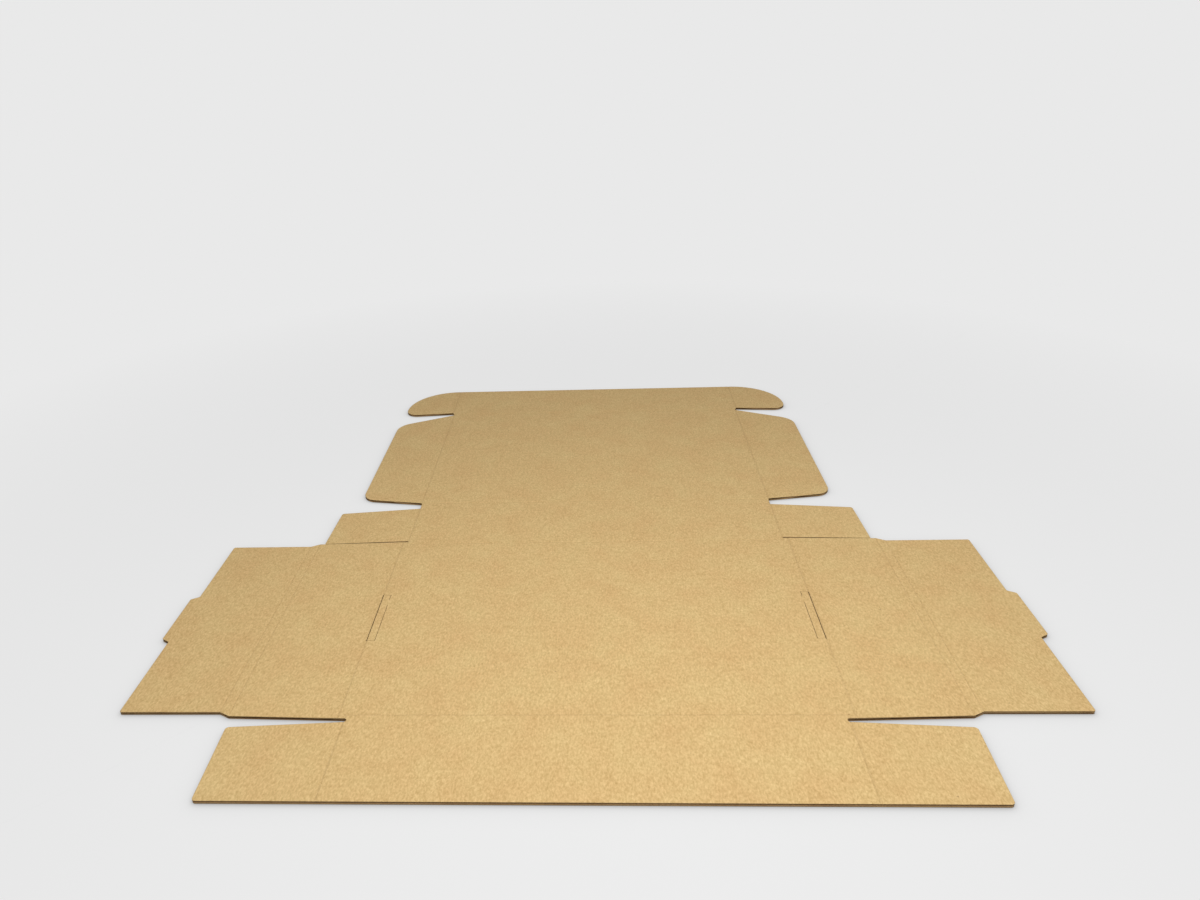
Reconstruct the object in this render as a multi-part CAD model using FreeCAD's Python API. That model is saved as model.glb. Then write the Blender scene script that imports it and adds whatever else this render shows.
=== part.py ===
import FreeCAD, Part
import math
import os
from FreeCAD import Vector

# Die-cut blank of a roll-end tuck-top mailer, lying flat with its inner face up.
# It is one sheet of single-wall corrugated board. Millimetres, +Z up.
# X runs along the flutes, from wing to wing. Y runs from the front panel to the tuck flap.
# The origin is the middle of the blank's extent, on its underside.

# Bottom panel, from fold to fold
bottom_length = 350.0
bottom_width = 226.0

# Corrugated board
board_thickness = 3.0
liner_thickness = 0.45
medium_thickness = 0.35
flute_pitch = 6.5
flute_crest_flat = 1.3

# Folds, pressed into the inner liner
crease_width = 2.4
crease_floor = 1.0
crease_depth = 0.28
crease_overrun = 3.0

# Front panel and its two corner flaps
front_height = 76.0
front_inset = 5.0
front_flap_length = 79.5
front_flap_taper = 2.5
front_flap_root_gap = 3.5
front_flap_slant = 5.0
flap_corner_radius = 2.5

# Back panel and its two corner flaps
back_height = 77.5
back_inset = 4.5
back_flap_length = 77.0
back_flap_taper = 1.5
back_slit_gap = 0.8
back_flap_slant = 1.0
back_flap_drop_root = 10.5
back_flap_drop_tip = 19.0

# Wings: outer wall, roll-over strip and inner wall
outer_wall_height = 77.0
outer_wall_proud_root = 3.5
outer_wall_proud_top = 1.0
rollover_width = 7.5
inner_wall_height = 72.0
inner_wall_inset = 3.0
inner_wall_corner_radius = 1.5

# Locking tab on each inner wall, and the slot that takes it
tab_length = 61.0
tab_reach = 6.5
tab_lead_in = 3.5
tab_tip_radius = 2.0
tab_root_radius = 1.2
tab_slot_clearance = 0.5
tab_slot_width = 7.0
knife_kerf = 0.6
slot_nick = 6.0

# Lid and its two dust flaps
lid_length = 228.5
lid_inset = 4.0
dust_flap_reach = 62.0
dust_flap_hinge_clearance = 1.0
dust_flap_hinge_slant = 9.5
dust_flap_tuck_clearance = 2.0
dust_flap_tuck_slant = 29.5
dust_flap_hinge_radius = 15.0
dust_flap_tuck_radius = 22.0

# Tuck flap and its two ears
tuck_depth = 76.0
ear_fold_step = 2.0
ear_reach = 58.5
ear_root_clearance = 5.5
ear_tip_clearance = 0.5
ear_root_radius = 14.0
ear_tip_radius = 57.0

# Lines shared by the panels, measured from the front fold
bottom_edge = bottom_length / 2
front_edge = bottom_edge - front_inset
back_edge = bottom_edge - back_inset
lid_edge = bottom_edge - lid_inset
ear_fold = lid_edge + ear_fold_step
roll_outer_fold = bottom_edge + outer_wall_height
roll_inner_fold = roll_outer_fold + rollover_width
wing_edge = roll_inner_fold + inner_wall_height
tab_tip = wing_edge + tab_reach
front_end = -front_height
lid_fold = bottom_width + back_height
tuck_fold = lid_fold + lid_length
tuck_end = tuck_fold + tuck_depth
slot_middle = bottom_width / 2
centre_line = (front_end + tuck_end) / 2

# Panels reach this far into their neighbour before they are joined
lap = 12.0


def corner_arc(before, corner, after, radius):
    """Return the start, middle and end of the arc that rounds one corner of an outline."""
    back = (before - corner).normalize()
    ahead = (after - corner).normalize()
    half_angle = back.getAngle(ahead) / 2
    setback = radius / math.tan(half_angle)
    bisector = (back + ahead).normalize()
    middle = corner + bisector * (radius / math.sin(half_angle) - radius)
    return corner + back * setback, middle, corner + ahead * setback


def outline(corners):
    """Return a flat face from (x, y, radius) corners, in order around it."""
    points = [Vector(x, y, 0) for x, y, radius in corners]
    edges = []
    starts = []
    ends = []
    arcs = []
    for index, point in enumerate(points):
        radius = corners[index][2]
        if radius > 0:
            before = points[index - 1]
            after = points[(index + 1) % len(points)]
            start, middle, end = corner_arc(before, point, after, radius)
            arcs.append(Part.Arc(start, middle, end).toShape())
        else:
            start = end = point
            arcs.append(None)
        starts.append(start)
        ends.append(end)
    for index, arc in enumerate(arcs):
        if arc:
            edges.append(arc)
        next_start = starts[(index + 1) % len(points)]
        edges.append(Part.makeLine(ends[index], next_start))
    return Part.Face(Part.Wire(edges))


def rectangle(x_low, x_high, y_low, y_high):
    """Return a flat rectangular face."""
    return outline([(x_low, y_low, 0), (x_high, y_low, 0), (x_high, y_high, 0), (x_low, y_high, 0)])


def mirrored(shape):
    """Return the same shape on the other side of the blank."""
    return shape.mirror(Vector(0, 0, 0), Vector(1, 0, 0))


def both_sides(shapes):
    """Return right-hand shapes together with their left-hand mirror images."""
    return shapes + [mirrored(shape) for shape in shapes]


def front_flap():
    """Right corner flap of the front panel, which folds in between the two side walls."""
    root = -outer_wall_proud_root - front_flap_root_gap
    end = front_edge + front_flap_length
    return outline([
        (front_edge - lap, root, 0),
        (front_edge, root, 0),
        (end, root - front_flap_slant, flap_corner_radius),
        (end - front_flap_taper, front_end, flap_corner_radius),
        (front_edge - lap, front_end, 0),
    ])


def back_flap():
    """Right corner flap of the back panel, parted from the wing by one knife cut."""
    root = bottom_width + outer_wall_proud_root + back_slit_gap
    end = back_edge + back_flap_length
    return outline([
        (back_edge - lap, root, 0),
        (back_edge, root, 0),
        (end, root - back_flap_slant, 0),
        (end - back_flap_taper, lid_fold - back_flap_drop_tip, flap_corner_radius),
        (back_edge, lid_fold - back_flap_drop_root, 0),
        (back_edge - lap, lid_fold - back_flap_drop_root, 0),
    ])


def wing():
    """Right wing: outer wall, roll-over strip and inner wall with its locking tab."""
    root = front_edge - lap
    tab_half = tab_length / 2
    tip_half = tab_half - tab_lead_in
    front_inner = inner_wall_inset
    back_inner = bottom_width - inner_wall_inset
    return outline([
        (root, -outer_wall_proud_root, 0),
        (front_edge, -outer_wall_proud_root, 0),
        (roll_outer_fold, -outer_wall_proud_top, 0),
        (roll_inner_fold, front_inner, 0),
        (wing_edge, front_inner, inner_wall_corner_radius),
        (wing_edge, slot_middle - tab_half, tab_root_radius),
        (tab_tip, slot_middle - tip_half, tab_tip_radius),
        (tab_tip, slot_middle + tip_half, tab_tip_radius),
        (wing_edge, slot_middle + tab_half, tab_root_radius),
        (wing_edge, back_inner, inner_wall_corner_radius),
        (roll_inner_fold, back_inner, 0),
        (roll_outer_fold, bottom_width + outer_wall_proud_top, 0),
        (back_edge, bottom_width + outer_wall_proud_root, 0),
        (root, bottom_width + outer_wall_proud_root, 0),
    ])


def dust_flap():
    """Right dust flap of the lid, with a smaller corner at the hinge and a larger one ahead."""
    outer = lid_edge + dust_flap_reach
    hinge_root = lid_fold + dust_flap_hinge_clearance
    tuck_root = tuck_fold - dust_flap_tuck_clearance
    return outline([
        (lid_edge - lap, hinge_root, 0),
        (lid_edge, hinge_root, 0),
        (outer, hinge_root + dust_flap_hinge_slant, dust_flap_hinge_radius),
        (outer, tuck_root - dust_flap_tuck_slant, dust_flap_tuck_radius),
        (lid_edge, tuck_root, 0),
        (lid_edge - lap, tuck_root, 0),
    ])


def ear():
    """Right ear of the tuck flap: a rounded lobe that slides down inside the front corner."""
    outer = ear_fold + ear_reach
    return outline([
        (ear_fold - lap, tuck_fold + ear_root_clearance, 0),
        (ear_fold, tuck_fold + ear_root_clearance, 0),
        (outer, tuck_fold + ear_tip_clearance, ear_root_radius),
        (outer, tuck_end, ear_tip_radius),
        (ear_fold - lap, tuck_end, 0),
    ])


def tuck_panel():
    """Tuck flap, a little wider than the lid past the short bevel at its fold."""
    bevel_end = tuck_fold + ear_root_clearance
    return outline([
        (-lid_edge, tuck_fold, 0),
        (lid_edge, tuck_fold, 0),
        (ear_fold, bevel_end, 0),
        (ear_fold, tuck_end, 0),
        (-ear_fold, tuck_end, 0),
        (-ear_fold, bevel_end, 0),
    ])


def slot_end():
    """Round inner end of the right front slot."""
    middle = -outer_wall_proud_root - front_flap_root_gap / 2
    circle = Part.makeCircle(front_flap_root_gap / 2, Vector(front_edge, middle, 0))
    return Part.Face(Part.Wire([circle]))


def tab_slot_cuts():
    """Knife cuts around the waste chip of the right tab slot, which a nick still holds."""
    half = tab_length / 2 + tab_slot_clearance
    low = slot_middle - half
    high = slot_middle + half
    inner = bottom_edge - tab_slot_width
    nick_low = slot_middle - slot_nick / 2
    nick_high = slot_middle + slot_nick / 2
    return [
        rectangle(bottom_edge - knife_kerf, bottom_edge, low, high),
        rectangle(inner, bottom_edge, low, low + knife_kerf),
        rectangle(inner, bottom_edge, high - knife_kerf, high),
        rectangle(inner, inner + knife_kerf, low, nick_low),
        rectangle(inner, inner + knife_kerf, nick_high, high),
    ]


def blank_outline():
    """Return the whole outline of the blank as one face, with its slots and knife cuts."""
    middle_panels = [
        rectangle(-front_edge, front_edge, front_end, 0),
        rectangle(-back_edge, back_edge, bottom_width, lid_fold),
        rectangle(-lid_edge, lid_edge, lid_fold, tuck_fold),
        tuck_panel(),
    ]
    side_panels = both_sides([front_flap(), wing(), back_flap(), dust_flap(), ear()])
    bottom = rectangle(-bottom_edge, bottom_edge, 0, bottom_width)
    joined = bottom.multiFuse(middle_panels + side_panels)
    cuts = both_sides([slot_end()] + tab_slot_cuts())
    return joined.cut(cuts).removeSplitter().Faces[0]


def tunnel(middle, wide_level, narrow_level):
    """Section of one tunnel between a liner and the medium, as a closed wire in the YZ plane."""
    wall = medium_thickness / 2
    slope_run = flute_pitch / 2 - flute_crest_flat
    slope_rise = board_thickness - 2 * liner_thickness - medium_thickness
    wall_run = wall * math.hypot(slope_run, slope_rise) / slope_rise
    narrow = flute_crest_flat / 2 + slope_run * wall / slope_rise - wall_run
    wide = flute_pitch / 2 - flute_crest_flat / 2 + slope_run * wall / slope_rise - wall_run
    points = [
        Vector(0, middle - wide, wide_level),
        Vector(0, middle - narrow, narrow_level),
        Vector(0, middle + narrow, narrow_level),
        Vector(0, middle + wide, wide_level),
    ]
    return Part.makePolygon(points + points[:1])


def fluted_sheet():
    """Return a plain rectangle of corrugated board with its tunnels along X."""
    floor = liner_thickness
    ceiling = board_thickness - liner_thickness
    flutes = 2 * math.ceil((tuck_end - front_end) / flute_pitch / 2)
    first = centre_line - flutes * flute_pitch / 2
    last = centre_line + flutes * flute_pitch / 2
    corners = [
        Vector(0, first - flute_pitch, 0),
        Vector(0, last + flute_pitch, 0),
        Vector(0, last + flute_pitch, board_thickness),
        Vector(0, first - flute_pitch, board_thickness),
    ]
    wires = [Part.makePolygon(corners + corners[:1])]
    for number in range(flutes):
        trough = first + (number + 0.25) * flute_pitch
        crest = first + (number + 0.75) * flute_pitch
        wires.append(tunnel(trough, ceiling, floor + medium_thickness))
        wires.append(tunnel(crest, floor, ceiling - medium_thickness))
    section = Part.makeFace(Part.Compound(wires), "Part::FaceMakerBullseye")
    half_length = tab_tip + flute_pitch
    section.translate(Vector(-half_length, 0, 0))
    return section.extrude(Vector(2 * half_length, 0, 0))


def crease(start, end):
    """Groove that a creasing rule leaves in the inner liner, from start to end in plan."""
    along = end - start
    across = Vector(-along.y, along.x, 0).normalize()
    top = Vector(0, 0, board_thickness)
    floor = Vector(0, 0, board_thickness - crease_depth)
    points = [
        start + across * (crease_width / 2) + top,
        start + across * (crease_floor / 2) + floor,
        start - across * (crease_floor / 2) + floor,
        start - across * (crease_width / 2) + top,
    ]
    return Part.Face(Part.makePolygon(points + points[:1])).extrude(along)


def creases():
    """Return every crease: four across the blank, and the side folds of each panel."""
    across = [(front_edge, 0), (back_edge, bottom_width), (lid_edge, lid_fold), (lid_edge, tuck_fold)]
    grooves = [crease(Vector(-x, y, 0), Vector(x, y, 0)) for x, y in across]
    wall_front = -outer_wall_proud_root
    wall_back = bottom_width + outer_wall_proud_root
    side_folds = [
        (front_edge, front_end, 0),
        (bottom_edge, wall_front, wall_back),
        (roll_outer_fold, wall_front, wall_back),
        (roll_inner_fold, wall_front, wall_back),
        (back_edge, bottom_width, lid_fold - back_flap_drop_root + crease_overrun),
        (lid_edge, lid_fold, tuck_fold),
        (ear_fold, tuck_fold + ear_root_clearance - crease_overrun, tuck_end),
    ]
    sides = [crease(Vector(x, low, 0), Vector(x, high, 0)) for x, low, high in side_folds]
    return grooves + both_sides(sides)


def box_blank():
    """Return the finished blank, placed on its own origin."""
    stamp = blank_outline().extrude(Vector(0, 0, board_thickness))
    board = fluted_sheet().common(stamp).cut(creases())
    solid = board.Solids[0]
    solid.translate(Vector(0, -centre_line, 0))
    return solid


blank = box_blank()
os.makedirs("parts", exist_ok=True)
blank.exportStep("parts/box_blank.step")
print("faces", len(blank.Faces), "solids", len(blank.Solids), "valid", blank.isValid())
print("size", blank.BoundBox.XLength, blank.BoundBox.YLength, blank.BoundBox.ZLength)
print("volume", blank.Volume)
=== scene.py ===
"""Flat die-cut mailer blank in kraft corrugated board, resting with its inner face up on a pale floor.

The board is corrugated by Geometry Nodes, stamped to the blank's outline, and then creased and cut like the
real one. All the sizes of the blank and of its board are in millimetres, and meshes are in metres.
"""

import logging
import math
from dataclasses import dataclass, field
from enum import Enum

import bmesh
import bpy
from mathutils import Matrix, Vector


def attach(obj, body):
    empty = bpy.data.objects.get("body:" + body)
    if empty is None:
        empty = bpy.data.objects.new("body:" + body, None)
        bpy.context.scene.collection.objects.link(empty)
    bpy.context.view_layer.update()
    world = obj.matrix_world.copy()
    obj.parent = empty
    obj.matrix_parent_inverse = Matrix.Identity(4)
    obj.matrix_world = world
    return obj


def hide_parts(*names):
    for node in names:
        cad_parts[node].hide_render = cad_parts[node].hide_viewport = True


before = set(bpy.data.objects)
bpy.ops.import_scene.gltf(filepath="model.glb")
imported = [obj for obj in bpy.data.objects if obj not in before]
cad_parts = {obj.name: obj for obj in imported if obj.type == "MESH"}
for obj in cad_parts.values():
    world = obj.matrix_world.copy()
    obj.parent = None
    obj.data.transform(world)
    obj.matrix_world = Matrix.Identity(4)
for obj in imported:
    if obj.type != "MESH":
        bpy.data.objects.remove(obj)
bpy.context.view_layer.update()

log = logging.getLogger("blank")

MM = 0.001
PHOTO_WIDTH = 1200
PHOTO_HEIGHT = 900
BLANK_NODE = "box_blank"
BLANK_BODY = "root"
BITE = "bite"
FIBRE_BAND = (0.2, 0.8)
CLOUD_BAND = (0.3, 0.7)
MATH = "ShaderNodeMath"
VECTOR = "ShaderNodeCombineXYZ"


class Lie(Enum):
    """Which way a straight rule or knife of the die lies on the board."""

    ALONG_FLUTES = "along"
    ACROSS_FLUTES = "across"


@dataclass(frozen=True)
class Corner:
    """One corner of the blank's outline, rounded if it has a radius.

    Attributes:
        x: distance from the middle line.
        y: distance from the front fold.
        radius: radius that the die gives the corner.
    """

    x: float
    y: float
    radius: float = 0.0


@dataclass(frozen=True)
class Rule:
    """One straight creasing rule or knife of the die, from one end to the other in plan.

    Attributes:
        x_low: left end.
        x_high: right end.
        y_low: front end.
        y_high: back end.
        bite: how far it bit into the board, as a share of the deepest rule or the widest cut.
    """

    x_low: float
    x_high: float
    y_low: float
    y_high: float
    bite: float = 1.0

    @property
    def lie(self) -> Lie:
        """The way it lies on the board."""
        return Lie.ALONG_FLUTES if self.y_low == self.y_high else Lie.ACROSS_FLUTES

    def mirrored(self) -> "Rule":
        """The same rule on the other side of the middle line."""
        return Rule(-self.x_high, -self.x_low, self.y_low, self.y_high, self.bite)


@dataclass(frozen=True)
class BoardGrade:
    """B-flute single-wall board: a wavy medium glued between two liners.

    Attributes:
        thickness: over both liners.
        liner: thickness of one liner.
        medium: thickness of the wavy medium.
        pitch: from one wave to the next.
        glue_bite: how far a wave's tip is pressed into the liner.
        washboard: how far a liner dips between two glue lines.
        wave_steps: straight steps that one tunnel's wave is drawn with.
        washboard_steps: straight steps of a liner for each wave.
    """

    thickness: float = 3.0
    liner: float = 0.45
    medium: float = 0.35
    pitch: float = 6.5
    glue_bite: float = 0.05
    washboard: float = 0.04
    wave_steps: int = 14
    washboard_steps: int = 8

    @property
    def wave_height(self) -> float:
        """Half the height of the medium's centre line."""
        return self.thickness / 2 - self.liner + self.glue_bite - self.medium / 2

    @property
    def tunnel_half_width(self) -> float:
        """Half the width of a tunnel where it meets the liner, between two glue lines."""
        return self.pitch / 2 - self.pitch / math.tau * math.acos(1 - self.glue_bite / self.wave_height)


@dataclass
class MailerDie:
    """The cutting die of a roll-end tuck-top mailer, measured from the front fold and the middle line.

    A bite is how far a rule or a knife went in, as a share of crease_depth or knife_kerf. The nick of a tab
    slot is left in its inner cut, slot_nick_from_back from the slot's back end to the nick's middle. A round
    corner is drawn in straight steps of arc_step_deg, and points nearer than merge_distance are one.
    """

    bottom_length: float = 350.0
    bottom_width: float = 226.0
    front_height: float = 76.0
    front_inset: float = 5.0
    front_flap_length: float = 79.5
    front_flap_taper: float = 2.5
    front_flap_root_gap: float = 3.5
    front_flap_slant: float = 5.0
    flap_corner_radius: float = 2.5
    back_height: float = 77.5
    back_inset: float = 4.5
    back_flap_length: float = 77.0
    back_flap_taper: float = 1.5
    back_slit_gap: float = 1.6
    back_flap_slant: float = 3.5
    back_flap_drop_root: float = 10.5
    back_flap_drop_tip: float = 19.0
    outer_wall_height: float = 77.0
    outer_wall_proud_root: float = 3.5
    outer_wall_proud_top: float = 1.0
    rollover_width: float = 7.5
    inner_wall_height: float = 72.0
    inner_wall_inset: float = 3.0
    inner_wall_corner_radius: float = 1.5
    tab_length: float = 61.0
    tab_reach: float = 6.5
    tab_lead_in: float = 3.5
    tab_tip_radius: float = 2.0
    tab_root_radius: float = 1.2
    tab_slot_clearance: float = 0.5
    tab_slot_width: float = 7.0
    knife_kerf: float = 0.6
    slot_nick: float = 8.0
    slot_nick_from_back: float = 11.0
    lid_length: float = 228.5
    lid_inset: float = 4.0
    dust_flap_reach: float = 62.0
    dust_flap_hinge_clearance: float = 1.0
    dust_flap_hinge_slant: float = 9.5
    dust_flap_tuck_clearance: float = 2.0
    dust_flap_tuck_slant: float = 29.5
    dust_flap_hinge_radius: float = 15.0
    dust_flap_tuck_radius: float = 22.0
    tuck_depth: float = 76.0
    ear_fold_step: float = 2.0
    ear_reach: float = 58.5
    ear_root_clearance: float = 5.5
    ear_tip_clearance: float = 0.5
    ear_root_radius: float = 14.0
    ear_tip_radius: float = 57.0
    crease_width: float = 2.6
    crease_depth: float = 0.4
    crease_overrun: float = 3.0
    panel_fold_bite: float = 0.85
    rollover_bite: float = 0.75
    inner_cut_bite: float = 0.6
    end_cut_bite: float = 0.4
    arc_step_deg: float = 3.0
    merge_distance: float = 0.001

    def __post_init__(self) -> None:
        """Work out the lines that the panels share."""
        self.bottom_edge = self.bottom_length / 2
        self.front_edge = self.bottom_edge - self.front_inset
        self.back_edge = self.bottom_edge - self.back_inset
        self.lid_edge = self.bottom_edge - self.lid_inset
        self.ear_fold = self.lid_edge + self.ear_fold_step
        self.roll_outer_fold = self.bottom_edge + self.outer_wall_height
        self.roll_inner_fold = self.roll_outer_fold + self.rollover_width
        self.wing_edge = self.roll_inner_fold + self.inner_wall_height
        self.tab_tip = self.wing_edge + self.tab_reach
        self.front_end = -self.front_height
        self.lid_fold = self.bottom_width + self.back_height
        self.tuck_fold = self.lid_fold + self.lid_length
        self.tuck_end = self.tuck_fold + self.tuck_depth
        self.wall_front = -self.outer_wall_proud_root
        self.wall_back = self.bottom_width + self.outer_wall_proud_root
        self.slot_middle = self.bottom_width / 2
        self.centre_line = (self.front_end + self.tuck_end) / 2

    def front_corners(self) -> list[Corner]:
        """Right front flap and the slot that parts it from the wing."""
        flap_end = self.front_edge + self.front_flap_length
        slot_front = self.wall_front - self.front_flap_root_gap
        slot_radius = self.front_flap_root_gap / 2
        return [
            Corner(flap_end - self.front_flap_taper, self.front_end, self.flap_corner_radius),
            Corner(flap_end, slot_front - self.front_flap_slant, self.flap_corner_radius),
            Corner(self.front_edge, slot_front),
            Corner(self.front_edge - slot_radius, slot_front, slot_radius),
            Corner(self.front_edge - slot_radius, self.wall_front, slot_radius),
        ]

    def wing_corners(self) -> list[Corner]:
        """Right wing: outer wall, roll-over strip, and inner wall with its locking tab."""
        tab_half = self.tab_length / 2
        tip_half = tab_half - self.tab_lead_in
        inner_front = self.inner_wall_inset
        inner_back = self.bottom_width - self.inner_wall_inset
        return [
            Corner(self.roll_outer_fold, -self.outer_wall_proud_top),
            Corner(self.roll_inner_fold, inner_front),
            Corner(self.wing_edge, inner_front, self.inner_wall_corner_radius),
            Corner(self.wing_edge, self.slot_middle - tab_half, self.tab_root_radius),
            Corner(self.tab_tip, self.slot_middle - tip_half, self.tab_tip_radius),
            Corner(self.tab_tip, self.slot_middle + tip_half, self.tab_tip_radius),
            Corner(self.wing_edge, self.slot_middle + tab_half, self.tab_root_radius),
            Corner(self.wing_edge, inner_back, self.inner_wall_corner_radius),
            Corner(self.roll_inner_fold, inner_back),
            Corner(self.roll_outer_fold, self.bottom_width + self.outer_wall_proud_top),
            Corner(self.back_edge, self.wall_back),
        ]

    def back_corners(self) -> list[Corner]:
        """Right back flap, parted from the wing by one knife cut."""
        slit_back = self.wall_back + self.back_slit_gap
        flap_end = self.back_edge + self.back_flap_length
        tip_line = self.lid_fold - self.back_flap_drop_tip
        return [
            Corner(self.back_edge, slit_back),
            Corner(flap_end, slit_back - self.back_flap_slant),
            Corner(flap_end - self.back_flap_taper, tip_line, self.flap_corner_radius),
            Corner(self.back_edge, self.lid_fold - self.back_flap_drop_root),
            Corner(self.back_edge, self.lid_fold),
        ]

    def lid_corners(self) -> list[Corner]:
        """Right dust flap of the lid and right ear of the tuck flap."""
        flap_end = self.lid_edge + self.dust_flap_reach
        hinge_root = self.lid_fold + self.dust_flap_hinge_clearance
        tuck_root = self.tuck_fold - self.dust_flap_tuck_clearance
        ear_end = self.ear_fold + self.ear_reach
        return [
            Corner(self.lid_edge, self.lid_fold),
            Corner(self.lid_edge, hinge_root),
            Corner(flap_end, hinge_root + self.dust_flap_hinge_slant, self.dust_flap_hinge_radius),
            Corner(flap_end, tuck_root - self.dust_flap_tuck_slant, self.dust_flap_tuck_radius),
            Corner(self.lid_edge, tuck_root),
            Corner(self.lid_edge, self.tuck_fold),
            Corner(self.ear_fold, self.tuck_fold + self.ear_root_clearance),
            Corner(ear_end, self.tuck_fold + self.ear_tip_clearance, self.ear_root_radius),
            Corner(ear_end, self.tuck_end, self.ear_tip_radius),
        ]

    def outline(self) -> list[Vector]:
        """Walk once round the blank.

        Returns:
            The outline's points, anticlockwise, in metres in the part's own frame.
        """
        right = self.front_corners() + self.wing_corners() + self.back_corners() + self.lid_corners()
        left = [Corner(-corner.x, corner.y, corner.radius) for corner in reversed(right)]
        corners = right + left
        points = []
        for index, corner in enumerate(corners):
            after = corners[(index + 1) % len(corners)]
            for point in self.rounded(corners[index - 1], corner, after):
                if not points or (point - points[-1]).length > self.merge_distance * MM:
                    points.append(point)
        return points

    def rounded(self, before: Corner, corner: Corner, after: Corner) -> list[Vector]:
        """Round one corner of the outline.

        Args:
            before: the corner before it.
            corner: the corner.
            after: the corner after it.

        Returns:
            The points of its arc, or the corner itself where it is sharp.
        """
        here = self.placed(corner.x, corner.y)
        if not corner.radius:
            return [here]
        back = (self.placed(before.x, before.y) - here).normalized()
        ahead = (self.placed(after.x, after.y) - here).normalized()
        half_angle = back.angle(ahead) / 2
        radius = corner.radius * MM
        centre = here + (back + ahead).normalized() * radius / math.sin(half_angle)
        start = here + back * radius / math.tan(half_angle) - centre
        end = here + ahead * radius / math.tan(half_angle) - centre
        turn = start.angle(end)
        if start.cross(end).z < 0:
            turn = -turn
        steps = max(2, math.ceil(abs(math.degrees(turn)) / self.arc_step_deg))
        return [centre + Matrix.Rotation(turn * step / steps, 3, "Z") @ start for step in range(steps + 1)]

    def placed(self, x: float, y: float) -> Vector:
        """Turn a place on the die into a point of the part's own frame, in metres."""
        return Vector((x, y - self.centre_line, 0)) * MM

    def creasing_rules(self) -> list[Rule]:
        """Every fold of the blank, as the creasing rules that press it."""
        front, back, lid = self.front_edge, self.back_edge, self.lid_edge
        flap_fold_end = self.lid_fold - self.back_flap_drop_root + self.crease_overrun
        ear_fold_start = self.tuck_fold + self.ear_root_clearance - self.crease_overrun
        panel, roll = self.panel_fold_bite, self.rollover_bite
        along = [
            Rule(-front, front, 0, 0, panel),
            Rule(-back, back, self.bottom_width, self.bottom_width, panel),
            Rule(-lid, lid, self.lid_fold, self.lid_fold, panel),
            Rule(-lid, lid, self.tuck_fold, self.tuck_fold, panel),
        ]
        right = [
            Rule(front, front, self.front_end, 0),
            Rule(self.bottom_edge, self.bottom_edge, self.wall_front, self.wall_back),
            Rule(self.roll_outer_fold, self.roll_outer_fold, self.wall_front, self.wall_back, roll),
            Rule(self.roll_inner_fold, self.roll_inner_fold, self.wall_front, self.wall_back, roll),
            Rule(back, back, self.bottom_width, flap_fold_end),
            Rule(lid, lid, self.lid_fold, self.tuck_fold),
            Rule(self.ear_fold, self.ear_fold, ear_fold_start, self.tuck_end),
        ]
        return along + right + [rule.mirrored() for rule in right]

    def slot_knives(self) -> list[Rule]:
        """The knives round the waste chips of both tab slots, which leave a nick in the inner side."""
        half = self.tab_length / 2 + self.tab_slot_clearance
        middle_of_kerf = self.knife_kerf / 2
        low = self.slot_middle - half + middle_of_kerf
        high = self.slot_middle + half - middle_of_kerf
        outer = self.bottom_edge - middle_of_kerf
        inner = self.bottom_edge - self.tab_slot_width + middle_of_kerf
        nick = high + middle_of_kerf - self.slot_nick_from_back
        nick_half = self.slot_nick / 2
        inner_bite, end_bite = self.inner_cut_bite, self.end_cut_bite
        right = [
            Rule(outer, outer, low - middle_of_kerf, high + middle_of_kerf),
            Rule(inner, inner, low - middle_of_kerf, nick - nick_half, inner_bite),
            Rule(inner, inner, nick + nick_half, high + middle_of_kerf, inner_bite),
            Rule(inner, outer, low, low, end_bite),
            Rule(inner, outer, high, high, end_bite),
        ]
        return right + [rule.mirrored() for rule in right]


def add_node(
    tree: bpy.types.NodeTree,
    kind: str,
    inputs: dict | None = None,
    out: str | int | None = None,
    **settings: object,
) -> bpy.types.Node | bpy.types.NodeSocket:
    """Add one node to a tree.

    Args:
        tree: the tree.
        kind: Blender's identifier of the node.
        inputs: for an input's name or number, the output or outputs linked to it, or the value it is set to.
        out: name or number of the output that is wanted.
        settings: the node's own properties.

    Returns:
        The output that is wanted, or the new node where none is named.
    """
    made = tree.nodes.new(kind)
    for name, value in settings.items():
        setattr(made, name, value)
    for key, value in (inputs or {}).items():
        sources = value if isinstance(value, list) else [value]
        if isinstance(sources[0], bpy.types.NodeSocket):
            for source in sources:
                tree.links.new(source, made.inputs[key])
        else:
            made.inputs[key].default_value = value
    return made if out is None else made.outputs[out]


def linear(colour: str) -> tuple[float, float, float, float]:
    """Turn an sRGB hex colour into linear light.

    Args:
        colour: six hex digits after a hash.

    Returns:
        Red, green, blue and a full alpha.
    """
    channels = [int(colour[place : place + 2], 16) / 255 for place in (1, 3, 5)]
    light = [c / 12.92 if c <= 0.04045 else ((c + 0.055) / 1.055) ** 2.4 for c in channels]
    return (*light, 1.0)


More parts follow.
